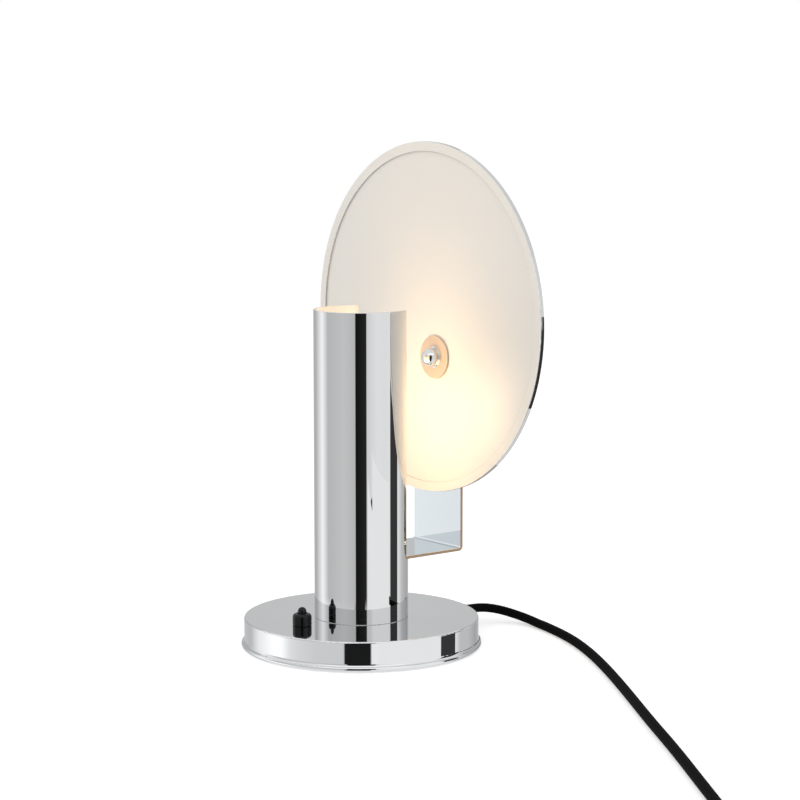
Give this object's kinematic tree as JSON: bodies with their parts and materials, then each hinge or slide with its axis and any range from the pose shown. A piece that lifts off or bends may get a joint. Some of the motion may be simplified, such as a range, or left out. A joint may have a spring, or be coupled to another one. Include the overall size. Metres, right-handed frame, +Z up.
{
  "type": "bedside lamp",
  "caption": "Bedside lamp: an upright chrome tube with a window, facing a round white reflector that swivels off centre on a folded strip, on a round base with a push switch and a cord.",
  "frame": {"origin": "middle of the felt foot, on the table, under the tube's axis", "axes": "+Z up along the tube, +Y from the tube towards the reflector, +X along the reflector's plane"},
  "size_m": [0.7366, 0.261, 0.3201],
  "materials": {
    "felt": "matt felt",
    "cover_steel": "matt black paint",
    "plated_steel": "zinc plated",
    "cast_iron": "raw casting",
    "chrome": "bright chrome plate on steel",
    "chrome_tube": "bright chrome outside, white lacquer inside",
    "chrome_rim": "bright chrome plate on a rolled ring",
    "chrome_strip": "bright chrome plate on steel strip",
    "satin_nickel": "satin nickel plate",
    "holder_plastic": "moulded white",
    "porcelain": "unglazed porcelain",
    "brass": "bare",
    "bulb_metal": "pressed thread",
    "opal_glass": "opal, lit",
    "white_lacquer": "semi-gloss white lacquer",
    "fibre": "fibre washer",
    "black_plastic": "glossy black",
    "spring_steel": "drawn wire",
    "relief_rubber": "black",
    "cord_textile": "black textile braid over flexible cord",
    "lead_pvc": "insulated wire",
    "tie_plastic": "black strap",
    "plug_plastic": "black moulding",
    "plug_brass": "nickel-tinted brass"
  },
  "bodies": {
    "lamp": {"felt_pad": "felt", "base_cover": "cover_steel", "cover_screws": "plated_steel", "base_weight": "cast_iron", "base_shell": "chrome", "base_washer": "plated_steel", "base_nut": "plated_steel", "centre_rod": "plated_steel", "lamp_tube": "chrome_tube", "tube_plug": "plated_steel", "plug_nut": "plated_steel", "leg_nut": "plated_steel", "bracket": "chrome_strip", "holder_base": "holder_plastic", "holder_nut": "plated_steel", "holder_shell": "holder_plastic", "holder_insert": "porcelain", "holder_thread": "brass", "holder_contact": "brass", "bulb_cap": "bulb_metal", "bulb_glass": "opal_glass", "pivot_stud": "plated_steel", "rear_washer": "fibre", "soft_washer": "fibre", "front_washer": "satin_nickel", "dome_nut": "chrome", "back_washer": "plated_steel", "spring_washer": "plated_steel", "back_nut": "chrome", "switch_body": "black_plastic", "switch_base": "black_plastic", "switch_cap": "black_plastic", "switch_spring": "spring_steel", "switch_terminals": "brass", "cord_relief": "relief_rubber", "inner_cord": "cord_textile", "cord_clamp": "black_plastic", "clamp_screws": "plated_steel", "lead_neutral": "lead_pvc", "lead_switched": "lead_pvc", "lead_live": "lead_pvc", "mains_cord": "cord_textile", "cord_coil": "cord_textile", "cord_tie": "tie_plastic", "plug_relief": "plug_plastic", "plug_body": "plug_plastic", "plug_pins": "plug_brass"},
    "reflector": {"disc_plate": "white_lacquer", "disc_rim": "chrome_rim"},
    "button": {"switch_button": "black_plastic"}
  },
  "joints": [
    {"name": "reflector_swivel", "type": "hinge", "parent": "lamp", "child": "reflector", "pos_m": [0, 0.06155, 0.1813], "axis": [0, 1, 0], "range_deg": [-82, 127]},
    {"name": "switch_push", "type": "slide", "parent": "lamp", "child": "button", "axis": [0, 0, -1], "range_m": [0, 0.003], "stiffness_N_per_m": 900, "springref_m": -0.002, "deforming": ["switch_spring"]}
  ]
}
